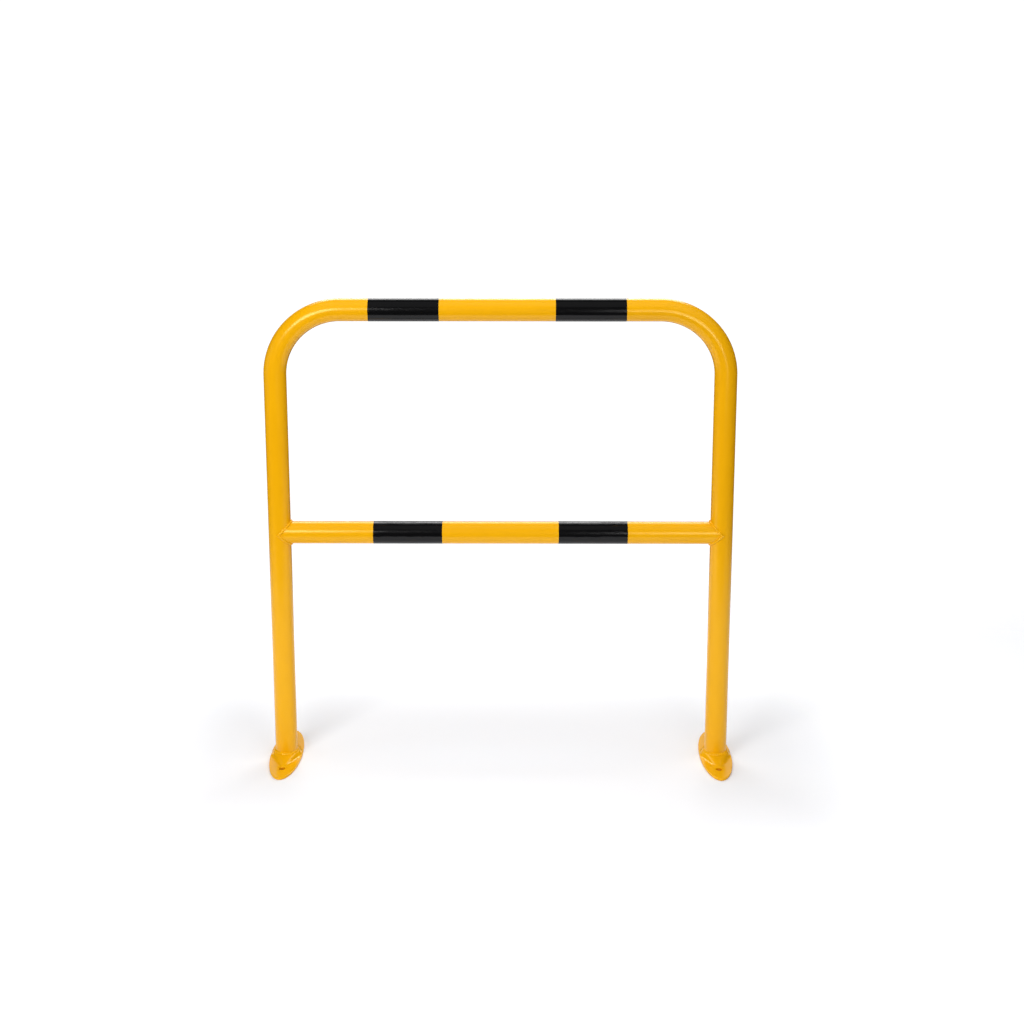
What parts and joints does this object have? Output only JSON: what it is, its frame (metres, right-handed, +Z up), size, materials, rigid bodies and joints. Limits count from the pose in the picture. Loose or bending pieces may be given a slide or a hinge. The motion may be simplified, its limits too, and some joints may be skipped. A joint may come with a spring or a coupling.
{
  "type": "hoop barrier",
  "caption": "Bent tube hoop barrier with a welded cross rail and oval bolt-down feet, for keeping trucks and people off racks, walls and machines.",
  "frame": {"origin": "on the floor, midway between the two feet", "axes": "+X across the barrier from the left foot to the right foot, +Y through the barrier away from the viewer, +Z up"},
  "size_m": [1.022, 0.24, 1.0303],
  "materials": {
    "powder_coat": "semi-gloss yellow powder coat on steel",
    "black_film": "semi-gloss black adhesive film"
  },
  "bodies": {
    "root": {"hoop_tube": "powder_coat", "cross_rail": "powder_coat", "left_foot_plate": "powder_coat", "right_foot_plate": "powder_coat", "left_foot_weld": "powder_coat", "right_foot_weld": "powder_coat", "left_rail_weld": "powder_coat", "right_rail_weld": "powder_coat", "top_band_left": "black_film", "top_band_right": "black_film", "rail_band_left": "black_film", "rail_band_right": "black_film"}
  },
  "joints": []
}
